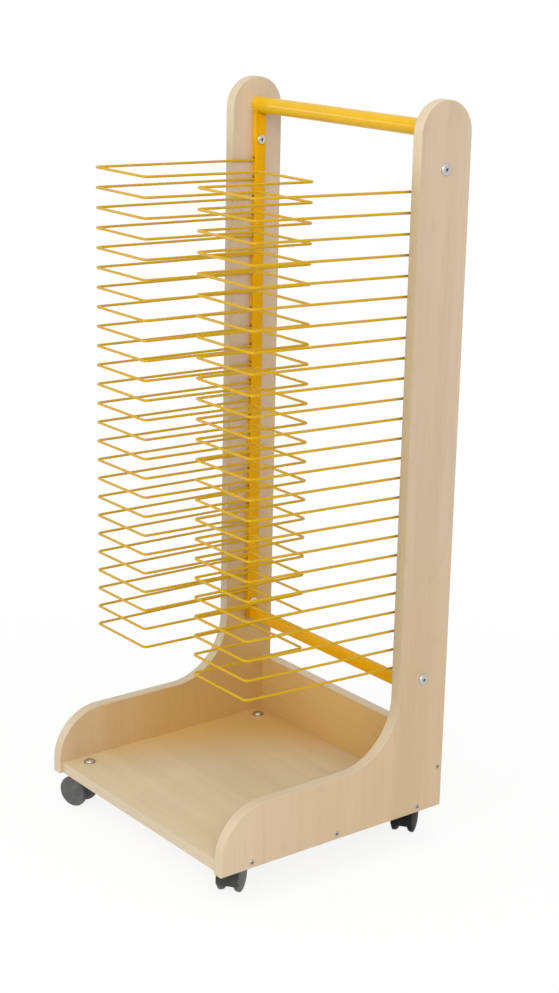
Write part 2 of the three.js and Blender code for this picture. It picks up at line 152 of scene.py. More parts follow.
def warmShadeShare(tree, place, warmShade):
    # painted shade and bounce light: a smooth step along one direction, weaker near the front, and at
    # full strength only on faces nearer the middle than insideX and further forward than insideY
    axes = addNode(tree, "ShaderNodeSeparateXYZ", {0: place}).outputs
    along = addNode(tree, "ShaderNodeVectorMath", {0: place, 1: warmShade["along"]},
                    operation="DOT_PRODUCT")
    ramp = addNode(tree, "ShaderNodeMapRange",
                   {"Value": along.outputs["Value"], "From Min": warmShade["from"] * mm,
                    "From Max": warmShade["to"] * mm}, interpolation_type="SMOOTHSTEP")
    front = addNode(tree, "ShaderNodeMapRange",
                    {"Value": axes["Y"], "From Min": warmShade["frontY"] * mm,
                     "From Max": warmShade["fullY"] * mm, "To Min": warmShade["frontShare"]})
    across = addNode(tree, "ShaderNodeMath", {0: axes["X"]}, operation="ABSOLUTE")
    within = addNode(tree, "ShaderNodeMath", {0: across.outputs[0], 1: warmShade["insideX"] * mm},
                     operation="LESS_THAN")
    ahead = addNode(tree, "ShaderNodeMath", {0: axes["Y"], 1: warmShade["insideY"] * mm},
                    operation="LESS_THAN")
    inner = addNode(tree, "ShaderNodeMath", {0: within.outputs[0], 1: ahead.outputs[0]},
                    operation="MULTIPLY")
    level = addNode(tree, "ShaderNodeMapRange",
                    {"Value": inner.outputs[0], "To Min": warmShade["outside"], "To Max": warmShade["inside"]})
    share = ramp.outputs[0]
    for factor in (front, level):
        share = addNode(tree, "ShaderNodeMath", {0: share, 1: factor.outputs[0]},
                        operation="MULTIPLY").outputs[0]
    return share


def mapleMelamine(name, grainAxis, look, warmShade):
    # Maple-print melamine pressed on a steel plate: an even satin skin whose print gives
    # slow pale bands, long fine fibres, faint growth lines and short dark flecks.
    finish, tree, bsdf = newFinish(name, {"Specular IOR Level": 0.42, "IOR": 1.5})
    place = addNode(tree, "ShaderNodeTexCoord").outputs["Object"]
    grain = {}
    for feature in ("band", "fibre", "figure", "fleck"):
        scale = featureScale(look[feature + "Width"], look[feature + "Length"], grainAxis)
        grain[feature] = addNode(tree, "ShaderNodeMapping", {"Vector": place, "Scale": scale}).outputs[0]
    bands = addNode(tree, "ShaderNodeTexNoise", {"Vector": grain["band"], "Scale": 1, "Detail": 3})
    fibres = addNode(tree, "ShaderNodeTexNoise",
                     {"Vector": grain["fibre"], "Scale": 1, "Detail": 4, "Roughness": 0.62})
    # growth lines are the contour lines of one slow noise
    figure = addNode(tree, "ShaderNodeTexNoise", {"Vector": grain["figure"], "Scale": 1, "Detail": 1})
    contour = addNode(tree, "ShaderNodeMath", {0: figure.outputs[0], 1: look["figureLines"]},
                      operation="MULTIPLY")
    contour = addNode(tree, "ShaderNodeMath", {0: contour.outputs[0], 1: 0.5}, operation="PINGPONG")
    lines = addNode(tree, "ShaderNodeMapRange",
                    {"Value": contour.outputs[0], "From Min": 0.1, "From Max": 0.0,
                     "To Max": look["lineShare"]},
                    interpolation_type="SMOOTHSTEP")
    flecks = addNode(tree, "ShaderNodeTexVoronoi", {"Vector": grain["fleck"], "Scale": 1})
    dots = addNode(tree, "ShaderNodeMapRange",
                   {"Value": flecks.outputs["Distance"], "From Min": 0.2, "From Max": 0.05,
                    "To Max": look["fleckShare"]})
    threads = addNode(tree, "ShaderNodeMapRange",
                      {"Value": fibres.outputs[0], "From Min": 0.5, "From Max": 0.78,
                       "To Max": look["fibreShare"]})
    bandShare = addNode(tree, "ShaderNodeMapRange",
                        {"Value": bands.outputs[0], "From Min": 0.33, "From Max": 0.67})
    dark = addNode(tree, "ShaderNodeMath", {0: threads.outputs[0], 1: lines.outputs[0]},
                   operation="ADD")
    dark = addNode(tree, "ShaderNodeMath", {0: dark.outputs[0], 1: dots.outputs[0]},
                   operation="ADD", use_clamp=True)
    # the middle layer is painted shade and bounce light, warmer and darker; the other two are print
    printed = layered(tree, look["base"], [(bandShare.outputs[0], look["pale"]),
                                           (warmShadeShare(tree, place, warmShade), warmShade["color"]),
                                           (dark.outputs[0], look["pore"])])
    setSurface(tree, bsdf, look, printed, fibres.outputs[0], look["bumpStrength"])
    return finish


bandLook = {
    "pale": "#CEBC9F", "base": "#C4B293", "pore": "#AA926F",
    # deep is painted shade on the uprights' long front straights, where the ramps ask for it
    "deep": "#B09C78", "paintedShadeMost": 0.85,
    "paintedShadeRamps": (("Z", 120, 360), ("Z", 1090, 1000), ("Y", 200, 150)),
    "lineWidth": 1.3, "lineLength": 120, "driftWidth": 40, "driftLength": 260,
    "roughness": (0.34, 0.48),
}


def mapleEdgeBand():
    # Extruded ABS edge band with a maple print: paler and a little shinier than the faces,
    # with fine lines that run along the edge and painted shade, a deeper tone, on the uprights' long
    # front straights.
    look = bandLook
    finish, tree, bsdf = newFinish("mapleEdgeBand", {"Specular IOR Level": 0.5, "IOR": 1.53})
    place = addNode(tree, "ShaderNodeUVMap", uv_map="alongEdge").outputs[0]
    lineScale = featureScale(look["lineWidth"], look["lineLength"], alongX)
    linePlace = addNode(tree, "ShaderNodeMapping", {"Vector": place, "Scale": lineScale}).outputs[0]
    lines = addNode(tree, "ShaderNodeTexNoise",
                    {"Vector": linePlace, "Scale": 1, "Detail": 3, "Roughness": 0.6})
    driftScale = featureScale(look["driftWidth"], look["driftLength"], alongX)
    driftPlace = addNode(tree, "ShaderNodeMapping", {"Vector": place, "Scale": driftScale}).outputs[0]
    drift = addNode(tree, "ShaderNodeTexNoise", {"Vector": driftPlace, "Scale": 1, "Detail": 2})
    where = addNode(tree, "ShaderNodeTexCoord").outputs["Object"]
    deep = rampShare(tree, where, look["paintedShadeMost"], look["paintedShadeRamps"])
    dark = addNode(tree, "ShaderNodeMapRange",
                   {"Value": lines.outputs[0], "From Min": 0.5, "From Max": 0.8, "To Max": 0.4})
    printed = layered(tree, look["base"], [(drift.outputs[0], look["pale"]), (deep, look["deep"]),
                                           (dark.outputs[0], look["pore"])])
    setSurface(tree, bsdf, look, printed, lines.outputs[0])
    return finish


coatLook = {"peelSize": 2.2, "cloudSize": 60, "roughness": (0.18, 0.3), "bumpDepth": 0.012}
# painted shade: the wires turn brown beside the right upright
wirePaintedShade = [{"color": "#75560F", "most": 0.6, "ramps": (("Y", 104, 124), ("X", 0, 1))}]


def yellowPowderCoat(name, base, deep, peelStrength, specular, tints=()):
    # Polyester powder coat, sprayed and baked: a glossy skin with a soft orange-peel ripple,
    # slightly deeper colour where the film is thicker, and a painted shade tint where a ramp asks for
    # one.
    look = coatLook
    finish, tree, bsdf = newFinish(name, {"IOR": 1.5, "Specular IOR Level": specular})
    place = addNode(tree, "ShaderNodeTexCoord").outputs["Object"]
    peel = addNode(tree, "ShaderNodeTexNoise",
                   {"Vector": place, "Scale": 1 / (look["peelSize"] * mm), "Detail": 2})
    cloud = addNode(tree, "ShaderNodeTexNoise",
                    {"Vector": place, "Scale": 1 / (look["cloudSize"] * mm), "Detail": 3})
    shades = [(rampShare(tree, place, tint["most"], tint["ramps"]), tint["color"]) for tint in tints]
    film = layered(tree, base, [(cloud.outputs[0], deep), *shades])
    setSurface(tree, bsdf, look, film, peel.outputs[0], peelStrength)
    return finish


zincLook = {"blotchSize": 2.2, "scratchWidth": 0.25, "scratchLength": 5, "roughness": (0.26, 0.5)}


def zincPlate(name, base, dull, grimeAndShade):
    # Bright zinc plate on steel: a cool silver metal with dull blotches and fine handling marks,
    # and dark grime with painted shade in the sockets, where the recess attribute is 1.
    look = zincLook
    finish, tree, bsdf = newFinish(name, {"Metallic": 1.0})
    place = addNode(tree, "ShaderNodeTexCoord").outputs["Object"]
    blotch = addNode(tree, "ShaderNodeTexNoise",
                     {"Vector": place, "Scale": 1 / (look["blotchSize"] * mm), "Detail": 4})
    scratchScale = featureScale(look["scratchWidth"], look["scratchLength"], alongY)
    scratchPlace = addNode(tree, "ShaderNodeMapping", {"Vector": place, "Scale": scratchScale})
    scratch = addNode(tree, "ShaderNodeTexNoise",
                      {"Vector": scratchPlace.outputs[0], "Scale": 1, "Detail": 2})
    recess = addNode(tree, "ShaderNodeAttribute", attribute_name="recess").outputs["Fac"]
    plate = layered(tree, base, [(blotch.outputs[0], dull), (recess, grimeAndShade)])
    setSurface(tree, bsdf, look, plate, scratch.outputs[0])
    return finish


plasticLook = {"gritSize": 0.9,  # real grit is 0.2 mm, too fine to show
               "cloudSize": 14, "roughness": (0.38, 0.62), "bumpStrength": 0.35, "bumpDepth": 0.03}


def mouldedPolyamide(name, base, worn, specular):
    # Injection-moulded polyamide from a spark-eroded tool: dark grey, with a fine dull grit
    # and paler scuffs.
    look = plasticLook
    finish, tree, bsdf = newFinish(name, {"IOR": 1.53, "Specular IOR Level": specular})
    place = addNode(tree, "ShaderNodeTexCoord").outputs["Object"]
    grit = addNode(tree, "ShaderNodeTexNoise",
                   {"Vector": place, "Scale": 1 / (look["gritSize"] * mm), "Detail": 3})
    cloud = addNode(tree, "ShaderNodeTexNoise",
                    {"Vector": place, "Scale": 1 / (look["cloudSize"] * mm), "Detail": 4})
    scuff = addNode(tree, "ShaderNodeMapRange",
                    {"Value": cloud.outputs[0], "From Min": 0.45, "From Max": 0.7})
    mould = layered(tree, base, [(scuff.outputs[0], worn)])
    setSurface(tree, bsdf, look, mould, grit.outputs[0], look["bumpStrength"])
    return finish


uprightMaple = mapleMelamine("mapleMelamineUpright", alongZ, mapleLook, uprightWarmShade)
trayMaple = mapleMelamine("mapleMelamineTray", alongX, trayLook, trayWarmShade)
backMaple = mapleMelamine("mapleMelamineBack", alongX, mapleLook, backWarmShade)
edgeBand = mapleEdgeBand()
# one powder coat in three copies: the post copy, deeper and more orange, is painted shade and yellow
# bounce light; the wire copy, darker, is painted shade
handleCoat = yellowPowderCoat("yellowPowderCoatHandle", "#DBAF00", "#D1A300",
                              peelStrength=0.1, specular=0.3)
shadedPostCoat = yellowPowderCoat("yellowPowderCoatPostShaded", "#E0A502", "#D69900",
                            peelStrength=0.1, specular=0.08)
shadedWireCoat = yellowPowderCoat("yellowPowderCoatWireShaded", "#C89E08", "#BF9405",
                            peelStrength=0.04, specular=0.2, tints=wirePaintedShade)
# the last colour of each is grime and painted shade in the sockets
zinc = zincPlate("zincPlateBright", "#D3D2CF", "#B3B3B1", "#8C8E94")
dullZinc = zincPlate("zincPlateDull", "#BDB8AB", "#A29C8E", "#6A6254")
plainCastor = {"hood": mouldedPolyamide("polyamideHood", "#323331", "#3D3E3C", specular=0.3),
               "wheel": mouldedPolyamide("polyamideWheel", "#51524F", "#60615E", specular=0.3)}
# painted shade: the rear right castor gets a near-black copy of the same plastic
shadedCastor = {"hood": mouldedPolyamide("polyamideHoodShaded", "#171816", "#222321", specular=0.12),
               "wheel": mouldedPolyamide("polyamideWheelShaded", "#151614", "#20211F", specular=0.08)}
print("finishes:", len(bpy.data.materials))


def gridFaces(rows, cols, closeRows=False, closeCols=False):
    # quads between neighbouring grid points; a closed direction joins its last line to its first
    lastRow = rows if closeRows else rows - 1
    lastCol = cols if closeCols else cols - 1
    i, j = np.meshgrid(np.arange(lastRow), np.arange(lastCol), indexing="ij")
    nextI = (i + 1) % rows
    nextJ = (j + 1) % cols
    corners = [i * cols + j, i * cols + nextJ, nextI * cols + nextJ, nextI * cols + j]
    return np.stack(corners, -1).reshape(-1, 4)


def gridCorners(rowPlaces, colPlaces):
    # UV of each quad's four corners, in metres along the rows and the columns
    u, v = np.meshgrid(rowPlaces, colPlaces, indexing="ij")
    grid = np.stack([u, v], -1)
    return np.stack([grid[:-1, :-1], grid[:-1, 1:], grid[1:, 1:], grid[1:, :-1]], 2).reshape(-1, 2)


def shellOf(grid, closeRows=False, closeCols=False):
    rows, cols = grid.shape[:2]
    return grid.reshape(-1, 3), gridFaces(rows, cols, closeRows, closeCols)


def addObject(name, data):
    made = bpy.data.objects.new(name, data)
    bpy.context.scene.collection.objects.link(made)
    return made


meshing = {"mergeDistance": 0.002, "sliverLength": 0.0005, "sharpAngle": 35}


def makePiece(name, shells, finish, body, replaced=(), uv=None, recess=None, closed=True):
    # shells are (points, quads); a closed piece has its poles merged and its normals turned out
    starts = np.cumsum([0] + [len(points) for points, _ in shells])
    points = np.concatenate([points for points, _ in shells])
    quads = np.concatenate([faces + start for (_, faces), start in zip(shells, starts)])
    mesh = bpy.data.meshes.new(name)
    mesh.from_pydata(points.tolist(), [], quads.tolist())
    if uv is not None:
        mesh.uv_layers.new(name="alongEdge").data.foreach_set("uv", uv.ravel())
    if recess is not None:
        mesh.attributes.new("recess", "FLOAT", "POINT").data.foreach_set("value", recess)
    if closed:
        work = bmesh.new()
        work.from_mesh(mesh)
        bmesh.ops.remove_doubles(work, verts=work.verts, dist=meshing["mergeDistance"] * mm)
        bmesh.ops.dissolve_degenerate(work, edges=work.edges, dist=meshing["sliverLength"] * mm)
        bmesh.ops.recalc_face_normals(work, faces=work.faces)
        work.to_mesh(mesh)
        work.free()
    mesh.polygons.foreach_set("use_smooth", np.ones(len(mesh.polygons), bool))
    mesh.set_sharp_from_angle(angle=radians(meshing["sharpAngle"]))
    mesh.materials.append(finish)
    piece = addObject(name, mesh)
    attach(piece, body)
    if replaced:
        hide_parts(*replaced)
    return piece


def arc(centre, radius, fromAngle, toAngle, count):
    angle = np.radians(np.linspace(fromAngle, toAngle, count))
    return np.stack([centre[0] + radius * np.cos(angle), centre[1] + radius * np.sin(angle)], -1)


def roundedBox(low, high, radius, count=4):
    # closed outline of a rectangle with arcs at its corners, anticlockwise
    (u0, v0), (u1, v1) = np.add(low, radius), np.subtract(high, radius)
    corners = [(u1, v0), (u1, v1), (u0, v1), (u0, v0)]
    starts = (-90, 0, 90, 180)
    return np.concatenate([arc(corner, radius, start, start + 90, count)
                           for corner, start in zip(corners, starts)])


def prismAlongX(outline, fromX, toX):
    # an outline in (y, z) carried along x, each end closed by a fan to its middle
    middle = np.broadcast_to(outline.mean(0), outline.shape)
    rings = [(middle, fromX), (outline, fromX), (outline, toX), (middle, toX)]
    grid = np.stack([np.column_stack([np.full(len(ring), x), ring]) for ring, x in rings])
    edge = np.linalg.norm(np.diff(outline, axis=0, append=outline[:1]), axis=1)
    uv = gridCorners([fromX, fromX, toX, toX], np.concatenate([[0], np.cumsum(edge)]))
    return shellOf(grid, closeCols=True), uv


def turned(profile, segments, closeRows=False):
    # rings round the x axis: each row is radius, place along x, and 1 where the ring is a hexagon
    # whose half width across flats is that radius
    radius, place, hexShare = np.array(profile, float).T
    angle = np.linspace(0, 2 * np.pi, segments, endpoint=False)
    hexagon = 1 / np.cos((angle + np.pi / 6) % (np.pi / 3) - np.pi / 6)
    reach = radius[:, None] * (1 + hexShare[:, None] * (hexagon - 1))
    grid = np.stack([np.broadcast_to(place[:, None], reach.shape),
                     reach * np.cos(angle), reach * np.sin(angle)], -1)
    return shellOf(grid * mm, closeRows, closeCols=True)


def moved(shell, matrix):
    points, faces = shell
    matrix = np.array(matrix)
    return points @ matrix[:3, :3].T + matrix[:3, 3], faces


# Side panels
panel = {"uprightWidth": 95, "footHeight": 100, "noseRadius": 80, "throatRadius": 100,
         "bandThickness": 1, "bandEase": 0.95}
panelPoints = {"arc": 28, "lower": 5, "level": 14, "upright": 44, "across": 13, "ease": 5, "under": 14}
noseLag = 0.3  # as a share of the nose's radius
(innerX, frontY, deckZ), (outerX, backY, topZ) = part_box("right_panel_edge_band")
uprightMidY = backY - panel["uprightWidth"] * mm / 2
crownZ = topZ - panel["uprightWidth"] * mm / 2


def panelEdges(inset):
    # front and back edge of the panel in (y, z), from the floor end to the crown, point for point:
    # nose arc, level foot, throat arc, upright and crown arc against the straight back and its arc
    size = {name: value * mm for name, value in panel.items()}
    footZ = deckZ + size["footHeight"]
    nose = (frontY + size["noseRadius"], footZ - size["noseRadius"])
    throat = (backY - size["uprightWidth"] - size["throatRadius"], footZ + size["throatRadius"])
    crownRadius = size["uprightWidth"] / 2 - inset
    arcPoints = panelPoints["arc"]
    noseArc = arc(nose, size["noseRadius"] - inset, 180, 90, arcPoints)
    throatArc = arc(throat, size["throatRadius"] + inset, -90, 0, arcPoints)
    crownArc = arc((uprightMidY, crownZ), crownRadius, 180, 90, arcPoints)
    lower = np.linspace((frontY + inset, deckZ + inset), noseArc[0], panelPoints["lower"])[:-1]
    level = np.linspace(noseArc[-1], throatArc[0], panelPoints["level"])[1:-1]
    upright = np.linspace(throatArc[-1], crownArc[0], panelPoints["upright"])[1:-1]
    front = np.concatenate([lower, noseArc, level, throatArc, upright, crownArc])
    # the back edge lags behind on the nose and catches up on the level foot, so the lines between
    # the two edges never cross
    lag = noseLag * size["noseRadius"]
    noseRise = noseArc[:, 1] - noseArc[0, 1]
    noseBack = noseArc[:, 1] - lag * noseRise / noseRise[-1]
    levelBack = throatArc[0, 1] - lag * np.linspace(1, 0, len(level) + 2)[1:-1]
    backZ = np.concatenate([lower[:, 1], noseBack, levelBack,
                            throatArc[:, 1], upright[:, 1], crownArc[:, 1]])
    backEdge = np.full(len(front), backY - inset)
    backEdge[-len(crownArc):] = 2 * uprightMidY - crownArc[:, 0]
    return front, np.column_stack([backEdge, backZ])


def panelBoard(fromX, toX):
    # ruled surface between the front and back edge on both faces, closed round the board
    front, back = panelEdges(panel["bandThickness"] * mm)
    share = np.linspace(0, 1, panelPoints["across"])[None, :, None]
    face = front[:, None] * (1 - share) + back[:, None] * share
    across = face.shape[1]
    loop = np.concatenate([face, face[:, ::-1]], 1)
    x = np.broadcast_to(np.repeat([fromX, toX], across), loop.shape[:2])
    points, faces = shellOf(np.concatenate([x[..., None], loop], -1), closeCols=True)
    j = np.arange(across - 1)
    foot = np.column_stack([j, j + 1, 2 * across - 2 - j, 2 * across - 1 - j])
    return points, np.concatenate([faces, foot])


def panelBand(fromX, toX):
    # a thin section with eased outer corners carried round the panel's outline
    ease = panel["bandEase"] * mm
    thick = panel["bandThickness"] * mm
    turn = np.radians(np.linspace(0, 90, panelPoints["ease"]))
    easeInset = ease * (1 - np.sin(turn))
    easeX = ease * (1 - np.cos(turn))
    insets = np.concatenate([[thick], easeInset, easeInset[::-1], [thick]])
    places = np.concatenate([[fromX], fromX + easeX, toX - easeX[::-1], [toX]])
    columns = []
    for inset, x in zip(insets, places):
        front, back = panelEdges(inset)
        under = np.linspace(back[0], front[0], panelPoints["under"])[1:-1]
        loop = np.concatenate([front, back[-2::-1], under])
        columns.append(np.column_stack([np.full(len(loop), x), loop]))
    grid = np.stack(columns, 1)
    rim = grid[:, 1 + panelPoints["ease"] // 2]  # the middle of the first eased corner
    edge = np.linalg.norm(np.diff(rim, axis=0, append=rim[:1]), axis=1)
    around = np.abs(np.diff(places, append=places[0])) + np.abs(np.diff(insets, append=insets[0]))
    uv = gridCorners(np.concatenate([[0], np.cumsum(edge)]), np.concatenate([[0], np.cumsum(around)]))
    return shellOf(grid, closeRows=True, closeCols=True), uv


for sideName, fromX, toX in (("left", -outerX, -innerX), ("right", innerX, outerX)):
    makePiece(f"{sideName}_panel_board", [panelBoard(fromX, toX)], uprightMaple, "rack",
              [f"{sideName}_side_panel"])
    bandShell, bandUv = panelBand(fromX, toX)
    makePiece(f"{sideName}_panel_band", [bandShell], edgeBand, "rack",
              [f"{sideName}_panel_edge_band"], uv=bandUv)
print("side panels done")

# Base and back board
tray = {"boardEase": 0.4, "bandEase": 0.35, "bandThickness": 1}
baseLow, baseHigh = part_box("base_board")
bandLow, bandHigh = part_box("base_edge_band")
backLow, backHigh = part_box("back_board")
bandTop = backHigh.z - tray["bandThickness"] * mm


def trayBoard(name, low, high, finish, easing, replaced=()):
    shell, uv = prismAlongX(roundedBox(low, high, easing * mm), -innerX, innerX)
    makePiece(name, [shell], finish, "rack", replaced, uv=uv)


trayBoard("base_shelf_board", (bandHigh.y, baseLow.z), (baseHigh.y, baseHigh.z), trayMaple,
          tray["boardEase"], ["base_board"])
trayBoard("base_front_band", (bandLow.y, bandLow.z), (bandHigh.y, bandHigh.z), edgeBand,
          tray["bandEase"], ["base_edge_band"])
trayBoard("back_stop_board", (backLow.y, backLow.z), (backHigh.y, bandTop), backMaple,
          tray["boardEase"], ["back_board"])
trayBoard("back_top_band", (backLow.y, bandTop), (backHigh.y, backHigh.z), edgeBand,
          tray["bandEase"])
print("tray done")

# Steel frame
tube = {"wall": 1.5, "corner": 1.5, "innerCorner": 0.2, "postWidth": 10, "postDepth": 20,
        "handleDiameter": 25, "handleSegments": 72,
        "slotWidth": 5.2, "slotBelowWire": 0.3, "slotAboveFoot": 7.17}
weld = {"bead": 1.3, "sides": 8, "ripple": 0.12, "ripplePoints": 4, "cornerPoints": 8}
handleRadius = tube["handleDiameter"] / 2
handleZ = (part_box("handle_tube")[0].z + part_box("handle_tube")[1].z) / 2
wall = tube["wall"]
reach = innerX / mm
handleProfile = [(handleRadius, -reach, 0), (handleRadius, reach, 0),
                 (handleRadius - wall, reach, 0), (handleRadius - wall, -reach, 0)]
handleShell = turned(handleProfile, tube["handleSegments"], closeRows=True)
handlePlace = Matrix.Translation((0, uprightMidY, handleZ))
makePiece("handle_round_tube", [moved(handleShell, handlePlace)], handleCoat, "rack",
          ["handle_tube"])
footZs = np.sort([joint["pos_m"][2] for joint in shelfJoints])


def postRing(midX):
    # rounded rectangle in (x, y); its front wall has two extra points, the sides of the slots
    half = np.array([tube["postWidth"], tube["postDepth"]]) * mm / 2
    middle = np.array([midX, uprightMidY])
    ring = roundedBox(middle - half, middle + half, tube["corner"] * mm)
    slotHalf = tube["slotWidth"] * mm / 2
    slotSides = [(midX - slotHalf, middle[1] - half[1]), (midX + slotHalf, middle[1] - half[1])]
    return np.concatenate([slotSides, ring])


def saddleZ(y):
    # underside of the handle tube above a place in y
    return handleZ - np.sqrt((handleRadius * mm) ** 2 - (y - uprightMidY) ** 2)


def slottedPost(midX, footZ):
    # the ring carried up through the edges of every slot to the saddle, without the slots' own quads
    ring = postRing(midX)
    slotZs = np.column_stack([footZs - tube["slotBelowWire"] * mm, footZs + tube["slotAboveFoot"] * mm])
    levels = np.concatenate([[footZ], slotZs.ravel()])
    z = np.concatenate([np.repeat(levels[:, None], len(ring), 1), saddleZ(ring[:, 1])[None]])
    xy = np.broadcast_to(ring, (*z.shape, 2))
    points, faces = shellOf(np.concatenate([xy, z[..., None]], -1), closeCols=True)
    row, col = np.divmod(np.arange(len(faces)), len(ring))
    return points, faces[(row % 2 == 0) | (col != 0) | (row == len(levels) - 1)]


def weldBead(path, reference):
    # a round bead carried along a closed path; its rings stand on the reference direction,
    # and a sine along the path gives the weld's ripples
    step = np.roll(path, -1, 0) - np.roll(path, 1, 0)
    tangent = step / np.linalg.norm(step, axis=1)[:, None]
    up = reference - tangent * (tangent @ reference)[:, None]
    up /= np.linalg.norm(up, axis=1)[:, None]
    side = np.cross(tangent, up)
    angle = np.linspace(0, 2 * np.pi, weld["sides"], endpoint=False)[None, :, None]
    phase = np.arange(len(path)) * 2 * np.pi / weld["ripplePoints"]
    radius = weld["bead"] * mm * (1 + weld["ripple"] * np.sin(phase))[:, None, None]
    grid = path[:, None] + radius * (np.cos(angle) * up[:, None] + np.sin(angle) * side[:, None])
    return shellOf(grid, closeRows=True, closeCols=True)


barLow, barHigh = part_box("lower_cross_bar")
for sideName, side in sides:
    midX = side * (innerX - tube["postWidth"] * mm / 2)
    post = makePiece(f"{sideName}_slotted_post", [slottedPost(midX, barLow.z)], shadedPostCoat, "rack",
                     [f"{sideName}_post"], closed=False)
    thickness = post.modifiers.new("tubeWall", "SOLIDIFY")
    thickness.thickness = wall * mm
    thickness.offset = -1
    thickness.use_even_offset = True
    ring = postRing(midX)[2:]
    saddle = np.column_stack([ring, saddleZ(ring[:, 1])])
    barRing = roundedBox((barLow.y, barLow.z), (barHigh.y, barHigh.z), tube["corner"] * mm,
                         weld["cornerPoints"])
    butt = np.column_stack([np.full(len(barRing), side * barHigh.x), barRing])
    beads = [weldBead(saddle, np.array([0, 0, 1.0])), weldBead(butt, np.array([1.0, 0, 0]))]
    makePiece(f"{sideName}_frame_welds", beads, shadedPostCoat, "rack")

barOuter = roundedBox((barLow.y, barLow.z), (barHigh.y, barHigh.z), tube["corner"] * mm)
barInner = roundedBox((barLow.y + wall * mm, barLow.z + wall * mm),
                      (barHigh.y - wall * mm, barHigh.z - wall * mm), tube["innerCorner"] * mm)
barRings = [(barOuter, barLow.x), (barOuter, barHigh.x), (barInner, barHigh.x), (barInner, barLow.x)]
barGrid = np.stack([np.column_stack([np.full(len(ring), x), ring]) for ring, x in barRings])
makePiece("lower_frame_bar", [shellOf(barGrid, closeRows=True, closeCols=True)], shadedPostCoat, "rack",
          ["lower_cross_bar"])
print("frame done:", len(footZs), "slots in each post")

# Wire shelves
shelf = {"wire": 4, "postX": 206, "tipX": 195, "fingerX": 64.5, "tipY": -147.5, "rearY": 59.5,
         "rise": 8, "bend": 6, "hookHeight": 12, "hookBend": 4, "seatGap": 0.3,
         "sides": 14, "bendPoints": 9,
         "endRings": ((0.8, 0.25), (0.0, 0.3))}  # a ring's size and how far out it is, in wire radii


def filleted(corners, radii, count):
    # straight runs between corners, with each inner corner replaced by an arc of its radius
    runs = [corners[:1]]
    for before, corner, after, radius in zip(corners, corners[1:], corners[2:], radii):
        inward = (corner - before) / np.linalg.norm(corner - before)
        onward = (after - corner) / np.linalg.norm(after - corner)
        bend = np.arccos(inward @ onward)
        start = corner - inward * radius * np.tan(bend / 2)
        across = onward - inward * cos(bend)
        across /= np.linalg.norm(across)
        angle = np.linspace(0, bend, count)[:, None]
        runs.append(start + radius * (np.sin(angle) * inward + (1 - np.cos(angle)) * across))
    runs.append(corners[-1:])
    return np.concatenate(runs)


def shelfLine():
    # middle line of one bent wire in mm, from the right hook to the left one, with the pivot at zero
    radius = shelf["wire"] / 2
    pivotY = shelfJoints[0]["pos_m"][1] / mm
    slope = shelf["rise"] / (pivotY - shelf["tipY"])
    hookY = pivotY + shelf["seatGap"] + radius
    plan = np.array([(shelf["postX"], hookY), (shelf["tipX"], shelf["tipY"]),
                     (shelf["fingerX"], shelf["tipY"]), (shelf["fingerX"], shelf["rearY"])])
    half = np.column_stack([plan, radius + (pivotY - plan[:, 1]) * slope])
    half = np.concatenate([half[:1] + [0, 0, shelf["hookHeight"]], half])
    corners = np.concatenate([half, half[::-1] * [-1, 1, 1]])
    flatBends = [shelf["bend"]] * (len(corners) - 4)
    bends = [shelf["hookBend"]] + flatBends + [shelf["hookBend"]]
    return filleted(corners, bends, shelf["bendPoints"])


def wireAlong(line):
    # circle carried along the line: a ring's first spoke is level and square to the wire, the two
    # upright points of each hook keep their neighbour's spoke, and shrunk rings round off each end
    radius = shelf["wire"] / 2
    step = np.gradient(line, axis=0)
    tangent = step / np.linalg.norm(step, axis=1)[:, None]
    spoke = np.cross([0, 0, 1], tangent)
    spoke[:2] = spoke[2]
    spoke[-2:] = spoke[-3]
    spoke /= np.linalg.norm(spoke, axis=1)[:, None]
    other = np.cross(tangent, spoke)
    angle = np.linspace(0, 2 * np.pi, shelf["sides"], endpoint=False)[None, :, None]
    offset = np.cos(angle) * spoke[:, None] + np.sin(angle) * other[:, None]
    rings = line[:, None] + radius * offset
    first, last = ([line[at] + radius * (share * offset[at] + out * way * tangent[at])
                    for share, out in shelf["endRings"]] for at, way in ((0, -1), (-1, 1)))
    return shellOf(np.concatenate([first[::-1], rings, last]), closeCols=True)


shelfPoints, shelfFaces = wireAlong(shelfLine())
for joint in shelfJoints:
    node = joint["child"]
    lifted = shelfPoints * mm + [0, 0, joint["pos_m"][2]]
    makePiece(f"{node}_wire", [(lifted, shelfFaces)], shadedWireCoat, node, [node])
print("shelves done:", len(shelfPoints), "points each")

# Frame bolts and carcass screws
bolt = {"head": 17, "headHeight": 3.2, "rim": 1.0, "face": 9.4, "shank": 6,
        "nut": 15, "nutHeight": 3, "nutRound": 1.6,
        "socket": 4, "socketDepth": 2, "socketEdge": 0.3, "segments": 48}
screw = {"head": 9, "proud": 0.5, "rimWidth": 0.5, "rimDrop": 0.4, "sunk": 3, "shank": 5,
         "socket": 3, "socketDepth": 0.42,  # the floor of the socket stays above the panel's face
         "socketEdge": 0.2, "segments": 36,
         "baseRise": 9, "fromFront": 56, "middleY": 3, "fromBack": 48, "backInset": 9, "backRise": 67}
hexCorner = 1.155  # a hexagon's width across corners for a width of 1 across flats


def hexSocket(piece, top, way):
    # pole, flat floor and straight walls of a hexagon socket, then its broken edge as a circle
    half, edge = piece["socket"] / 2, piece["socketEdge"]
    floor = top - way * piece["socketDepth"]
    return [(0, floor, 1), (half, floor, 1), (half, top - way * edge, 1),
            (half + edge, top, 1), (half * hexCorner + 2 * edge, top, 0)]


def dome(fromRadius, toRadius, fromPlace, toPlace, count=7):
    # quarter ellipse from a face's rim down to a head's rim
    angle = np.radians(np.linspace(0, 90, count))
    return np.column_stack([fromRadius + (toRadius - fromRadius) * np.sin(angle),
                            toPlace + (fromPlace - toPlace) * np.cos(angle), np.zeros(count)])


